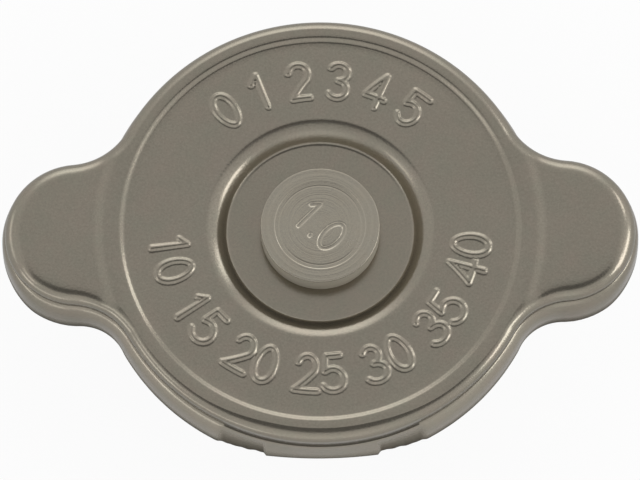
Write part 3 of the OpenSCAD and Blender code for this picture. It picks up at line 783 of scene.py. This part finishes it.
# scale, detail and roughness of the noises in the metals' grain
grainNoises = {"fine": (4200.0, 2.0, 0.6), "broad": (230.0, 5.0, 0.62), "wide": (60.0, 2.0, 0.5),
               "warm": (420.0, 3.0, 0.55)}
warmSwing = 2.2


def makeMetalGrain():
    # fine speckle and broad mottling from noises on Object coordinates; Tone is about 1, Rough about 0,
    # Warm swings from 0 to 1 between greyer and yellower plating
    group, start, end = nodeGroup("metalGrain", {"Vector": None, "Speckle": 0.5, "Mottle": 0.5},
                                  ("Tone", "Rough", "Warm", "Height"))
    link = group.links.new
    noise = {key: addNoise(group, start.outputs["Vector"], *values) for key, values in grainNoises.items()}
    swing = lambda key: mathNode(group, "SUBTRACT", noise[key], 0.5)
    mottle = mathNode(group, "MULTIPLY", swing("broad"), start.outputs["Mottle"])
    tone = addShare(group, mottle, swing("fine"), start.outputs["Speckle"])
    tone = addShare(group, tone, swing("wide"), start.outputs["Mottle"])
    link(mathNode(group, "ADD", tone, 1.0), end.inputs["Tone"])
    link(mottle, end.inputs["Rough"])
    link(addShare(group, 0.5, swing("warm"), warmSwing), end.inputs["Warm"])
    link(noise["fine"], end.inputs["Height"])
    return group


def makeTurnedRings():
    # concentric tool marks about the Z axis: rings of uneven depth, from a noise read along the radius
    group, start, end = nodeGroup("turnedRings", {"Vector": None, "Pitch": 2500.0}, ("Height", "Tone"))
    link = group.links.new
    flat = addNode(group, "ShaderNodeVectorMath", operation="MULTIPLY")
    flat.inputs[1].default_value = (1.0, 1.0, 0.0)
    length = addNode(group, "ShaderNodeVectorMath", operation="LENGTH")
    link(start.outputs["Vector"], flat.inputs[0])
    link(flat.outputs[0], length.inputs[0])
    ring = addNode(group, "ShaderNodeTexNoise", noise_dimensions="1D", Scale=1.0, Detail=3.0, Roughness=0.7)
    link(mathNode(group, "MULTIPLY", length.outputs["Value"], start.outputs["Pitch"]), ring.inputs["W"])
    link(ring.outputs[0], end.inputs["Height"])
    link(mathNode(group, "SUBTRACT", ring.outputs[0], 0.5), end.inputs["Tone"])
    return group


metalGrain = makeMetalGrain()
turnedRings = makeTurnedRings()


def metalMaterial(name, cool, warm, roughness, speckle, mottle, bump, metallic=1.0, edge=1.0,
                  rings=0.0, ringPitch=2500.0, ringRise=2.0,
                  wearAndSheenTone=0.0, dullAndShadeTone=0.0, rawRough=0.0, rawDull=0.0):
    # one metal finish: the colour runs from cool to warm by the grain and is scaled by its tone, by tool
    # rings, by worn tops and painted sheen, and by dull patches and painted shade; grain and rings also bump, and
    # the grain shifts the gloss
    material, tree, bsdf, place = newMaterial(name)
    link = tree.links.new
    bsdf.inputs["Metallic"].default_value = metallic
    bsdf.inputs["Specular Tint"].default_value = (edge, edge, edge, 1.0)
    grain = addNode(tree, "ShaderNodeGroup", node_tree=metalGrain)
    grain.inputs["Speckle"].default_value = speckle
    grain.inputs["Mottle"].default_value = mottle
    link(place, grain.inputs["Vector"])
    tone, height = grain.outputs["Tone"], grain.outputs["Height"]
    rough = mathNode(tree, "ADD", grain.outputs["Rough"], roughness)
    if rings:
        tool = addNode(tree, "ShaderNodeGroup", node_tree=turnedRings)
        tool.inputs["Pitch"].default_value = ringPitch
        link(place, tool.inputs["Vector"])
        tone = addShare(tree, tone, tool.outputs["Tone"], rings)
        height = addShare(tree, height, tool.outputs["Height"], ringRise)
    if wearAndSheenTone:
        tone = addShare(tree, tone, readMask(tree, "wearAndSheen"), wearAndSheenTone)
    if dullAndShadeTone:
        # where this mask is set, the tone shifts and the sheen fades: the rivet's rough side, the lower part of
        # the shell's notches, and the painted shade at the skirt's foot
        dullAndShade = readMask(tree, "dullAndShade")
        tone, rough = addShare(tree, tone, dullAndShade, dullAndShadeTone), addShare(tree, rough, dullAndShade, rawRough)
        bsdf.inputs["Specular IOR Level"].default_value = 0.0
        link(addShare(tree, metallic, dullAndShade, -rawDull * metallic), bsdf.inputs["Metallic"])
    scaled = addNode(tree, "ShaderNodeVectorMath", operation="SCALE")
    link(mixColours(tree, grain.outputs["Warm"], cool, warm), scaled.inputs[0])
    link(tone, scaled.inputs["Scale"])
    link(scaled.outputs[0], bsdf.inputs["Base Color"])
    link(rough, bsdf.inputs["Roughness"])
    addBump(tree, height, bump, bsdf)
    return material


def rubberMaterial(name, colour, dust, bloom, pores, gloss, roughFrom, roughSwing, bump):
    # moulded rubber: near-black with a matt bloom in patches, fine pores and a soft gloss
    material, tree, bsdf, place = newMaterial(name)
    link = tree.links.new
    bsdf.inputs["Specular IOR Level"].default_value = gloss
    bloom, pores = addNoise(tree, place, *bloom), addNoise(tree, place, *pores)
    link(mixColours(tree, mathNode(tree, "POWER", bloom, 3.0), colour, dust), bsdf.inputs["Base Color"])
    link(addShare(tree, roughFrom, bloom, roughSwing), bsdf.inputs["Roughness"])
    addBump(tree, pores, bump, bsdf)
    return material


finishes = {
    # on the shell the wear-and-sheen tone lightens worn figure tops and paints a lighter skirt, a painted
    # reflection; the dull-and-shade tone darkens the lower notches and paints shade at the skirt's foot
    "shellSteel": {"cool": (0.252, 0.235, 0.19), "warm": (0.268, 0.236, 0.193), "roughness": 0.21,
                   "speckle": 0.3, "mottle": 0.09, "bump": 0.18, "wearAndSheenTone": 0.2, "dullAndShadeTone": -0.72,
                   "rawRough": 0.12, "rawDull": 1.0, "metallic": 0.92, "edge": 0.8},
    "rivetAlloy": {"cool": (0.345, 0.32, 0.265), "warm": (0.355, 0.322, 0.262), "roughness": 0.26,
                   "speckle": 0.12, "mottle": 0.08, "bump": 0.2, "rings": 0.12, "dullAndShadeTone": 0.1,
                   "rawRough": 0.25, "rawDull": 0.6, "metallic": 0.92},
    "plateSteel": {"cool": (0.40, 0.39, 0.37), "warm": (0.43, 0.40, 0.35), "roughness": 0.3,
                   "speckle": 0.14, "mottle": 0.16, "bump": 0.2},
    "springSteel": {"cool": (0.36, 0.355, 0.34), "warm": (0.38, 0.36, 0.33), "roughness": 0.24,
                    "speckle": 0.18, "mottle": 0.2, "bump": 0.3},
    "valveBrass": {"cool": (0.50, 0.36, 0.13), "warm": (0.56, 0.37, 0.12), "roughness": 0.3,
                   "speckle": 0.12, "mottle": 0.2, "bump": 0.2, "rings": 0.25},
}
rubber = {"colour": (0.018, 0.018, 0.019), "dust": (0.06, 0.058, 0.054), "bloom": (260.0, 6.0, 0.65),
          "pores": (5200.0, 2.0, 0.5), "gloss": 0.4, "roughFrom": 0.42, "roughSwing": 0.3, "bump": 0.35}
looks = {name: metalMaterial(name, **finish) for name, finish in finishes.items()}
looks["sealRubber"] = rubberMaterial("sealRubber", **rubber)

for look, pieces in (
    ("shellSteel", [capShell]),
    ("rivetAlloy", [centreRivet]),
    ("plateSteel", [springDiaphragm, springHousing, valves["valvePlate"], valves["backingPlate"]]),
    ("springSteel", [mainSpring, vacuumSpring]),
    ("valveBrass", [swivelWasher, valves["valveFerrule"], valves["vacuumValve"]]),
    ("sealRubber", [upperGasket, valves["mainGasket"], valves["vacuumGasket"]]),
):
    for piece in pieces:
        piece.data.materials.append(looks[look])
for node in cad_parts.values():
    node.data.materials.clear()
    node.data.materials.append(looks["plateSteel"])
print("materials set")


# floor, light and camera

stage = {"floorHalf": 1.2, "floorGap": 0.00005, "floorColour": 0.8, "floorWhite": 0.92, "floorMirrored": 0.3}
white = (1.0, 1.0, 1.0, 1.0)


def mixShaders(tree, share, first, second, end):
    # the first shader where share is 0 and the second where it is 1, at the tree's end
    mix, out = addNode(tree, "ShaderNodeMixShader"), addNode(tree, end)
    tree.links.new(share, mix.inputs[0])
    tree.links.new(first.outputs[0], mix.inputs[1])
    tree.links.new(second.outputs[0], mix.inputs[2])
    tree.links.new(mix.outputs[0], out.inputs["Surface"])


half, low = stage["floorHalf"], -stage["floorGap"]
floorMesh = bpy.data.meshes.new("floor")
floorCorners = [(-half, -half, low), (half, -half, low), (half, half, low), (-half, half, low)]
floorMesh.from_pydata(floorCorners, [], [(0, 1, 2, 3)])
floor = newObject("floor", floorMesh)

floorWhite = bpy.data.materials.new("floorWhite")
floorWhite.use_nodes = True
tree = floorWhite.node_tree
tree.nodes.clear()
path = addNode(tree, "ShaderNodeLightPath").outputs
diffuse = addNode(tree, "ShaderNodeBsdfDiffuse", Color=(stage["floorColour"],) * 3 + (1.0,))
glow = addNode(tree, "ShaderNodeEmission", Color=white, Strength=1.0)
mirrored = mathNode(tree, "MAXIMUM", path["Is Transmission Ray"], path["Is Glossy Ray"])
seen = mathNode(tree, "MAXIMUM", mathNode(tree, "MULTIPLY", path["Is Camera Ray"], stage["floorWhite"]),
                mathNode(tree, "MULTIPLY", mirrored, stage["floorMirrored"]))
mixShaders(tree, seen, diffuse, glow, "ShaderNodeOutputMaterial")
floorMesh.materials.append(floorWhite)

# the world is a soft room: its light follows the angle from overhead towards the back, bright low behind the
# cap, evens out towards the left and right, a little brighter low on the right, has a dim opening overhead,
# and is white where the camera sees it
room = {
    "arc": [(-90, 1.15), (-65, 1.2), (-50, 1.08), (-40, 0.95), (-30, 0.85), (-15, 0.8), (18, 0.8), (30, 0.8),
            (40, 0.85), (48, 1.05), (55, 1.65), (62, 2.35), (70, 2.4), (78, 2.0), (90, 1.7)],
    "most": 2.4, "bandInner": 0.15, "bandOuter": 0.6,
    "sideways": 0.9, "lowRight": 1.2, "lowFrom": 0.55, "lowTo": 0.95,
    "openingAt": -8.0, "openingInner": 13.0, "openingOuter": 21.0, "openingDim": 0.8, "openingWide": 1.6,
}


def mapRange(tree, value, limits, results=(0.0, 1.0), ease="SMOOTHSTEP"):
    # value carried from its two limits to two results, and held beyond them
    node = addNode(tree, "ShaderNodeMapRange", interpolation_type=ease)
    for label, number in zip(("From Min", "From Max", "To Min", "To Max"), (*limits, *results)):
        node.inputs[label].default_value = number
    tree.links.new(value, node.inputs["Value"])
    return node.outputs["Result"]


world = bpy.data.worlds.new("room")
bpy.context.scene.world = world
world.use_nodes = True
tree = world.node_tree
tree.nodes.clear()
coords = addNode(tree, "ShaderNodeTexCoord")
split = addNode(tree, "ShaderNodeSeparateXYZ")
tree.links.new(coords.outputs["Generated"], split.inputs[0])
sideways = split.outputs["X"]
fromOverhead = mathNode(tree, "ARCTAN2", split.outputs["Y"], split.outputs["Z"])
ramp = addNode(tree, "ShaderNodeValToRGB")
ramp.color_ramp.interpolation = "EASE"
while len(ramp.color_ramp.elements) < len(room["arc"]):
    ramp.color_ramp.elements.new(0.5)
for element, (angle, level) in zip(ramp.color_ramp.elements, room["arc"]):
    element.position = (angle + 90) / 180
    element.color = (level / room["most"],) * 3 + (1.0,)
tree.links.new(addShare(tree, 0.5, fromOverhead, 1 / math.pi), ramp.inputs[0])
arcLevel = mathNode(tree, "MULTIPLY", ramp.outputs[0], room["most"])
aside = mapRange(tree, mathNode(tree, "ABSOLUTE", sideways), (room["bandInner"], room["bandOuter"]))
sideLevel = mapRange(tree, sideways, (room["lowFrom"], room["lowTo"]),
                     (room["sideways"], room["lowRight"]), "LINEAR")
level = addShare(tree, mathNode(tree, "MULTIPLY", aside, sideLevel),
                 arcLevel, mathNode(tree, "SUBTRACT", 1.0, aside))
along = mathNode(tree, "SUBTRACT", fromOverhead, math.radians(room["openingAt"]))
across = mathNode(tree, "DIVIDE", mathNode(tree, "ARCSINE", sideways), room["openingWide"])
squares = [mathNode(tree, "MULTIPLY", part, part) for part in (along, across)]
fromOpening = mathNode(tree, "SQRT", mathNode(tree, "ADD", *squares))
clear = mapRange(tree, fromOpening, (math.radians(room["openingInner"]), math.radians(room["openingOuter"])),
                 (1 - room["openingDim"], 1.0))
path = addNode(tree, "ShaderNodeLightPath").outputs
roomLight = addNode(tree, "ShaderNodeBackground", Color=white)
tree.links.new(mathNode(tree, "MULTIPLY", level, clear), roomLight.inputs["Strength"])
backdrop = addNode(tree, "ShaderNodeBackground", Color=white, Strength=1.0)
mixShaders(tree, path["Is Camera Ray"], roomLight, backdrop, "ShaderNodeOutputWorld")

# soft boxes round the cap, aimed at its face: azimuth from +X towards +Y, elevation, width, height, radiance
lampDistance = 0.6
lamps = {
    "softRightFront": (-13.0, 28.0, 0.26, 0.14, 3.3),
    "softRightBack": (38.0, 27.0, 0.16, 0.14, 2.4),
    "softRightLow": (0.0, 13.0, 0.3, 0.16, 3.2),
    "softLeft": (201.0, 40.0, 0.22, 0.12, 1.0),
    "softLeftFront": (205.0, 9.0, 0.22, 0.14, 1.5),
    "softFrontLow": (232.0, 4.0, 0.44, 0.18, 0.8),
    "softLeftLow": (164.0, 3.0, 0.34, 0.18, 0.9),
}
faceMiddle = Vector((0, 0, faceZ * mm))
for name, (azimuth, elevation, width, height, radiance) in lamps.items():
    a, e = math.radians(azimuth), math.radians(elevation)
    towards = Vector((math.cos(e) * math.cos(a), math.cos(e) * math.sin(a), math.sin(e)))
    data = bpy.data.lights.new(name, "AREA")
    data.shape = "RECTANGLE"
    data.size, data.size_y = width, height
    data.energy = radiance * math.pi * width * height
    light = newObject(name, data)
    light.matrix_world = (Matrix.Translation(towards * lampDistance + faceMiddle)
                          @ towards.to_track_quat("Z", "Y").to_matrix().to_4x4())

# the camera looks down at the face's middle, which lies at a set place in the picture
view = {"elevation": 72.4, "roll": 0.5, "distance": 0.9, "pxMm": 0.1041, "middleX": 320.2, "middleY": 228.2,
        "pictureW": 640, "pictureH": 480, "sensor": 36.0, "nearest": 0.01}
elevation, roll = math.radians(view["elevation"]), math.radians(view["roll"])
back = Vector((0, -math.cos(elevation), math.sin(elevation)))
right = Vector((1, 0, 0))
up = back.cross(right)
right, up = right * math.cos(roll) - up * math.sin(roll), up * math.cos(roll) + right * math.sin(roll)
pixel = view["pxMm"] * mm
offX, offY = view["pictureW"] / 2 - view["middleX"], view["pictureH"] / 2 - view["middleY"]
aim = faceMiddle + right * offX * pixel - up * offY * pixel
cameraData = bpy.data.cameras.new("camera")
cameraData.sensor_width = view["sensor"]
cameraData.lens = view["sensor"] * view["distance"] / (view["pictureW"] * pixel)
cameraData.clip_start = view["nearest"]
camera = newObject("camera", cameraData)
turned = Matrix((right, up, back)).transposed().to_4x4()
camera.matrix_world = Matrix.Translation(aim + back * view["distance"]) @ turned
bpy.context.scene.camera = camera
bpy.context.scene.view_settings.view_transform = "Standard"

print("scene ready")
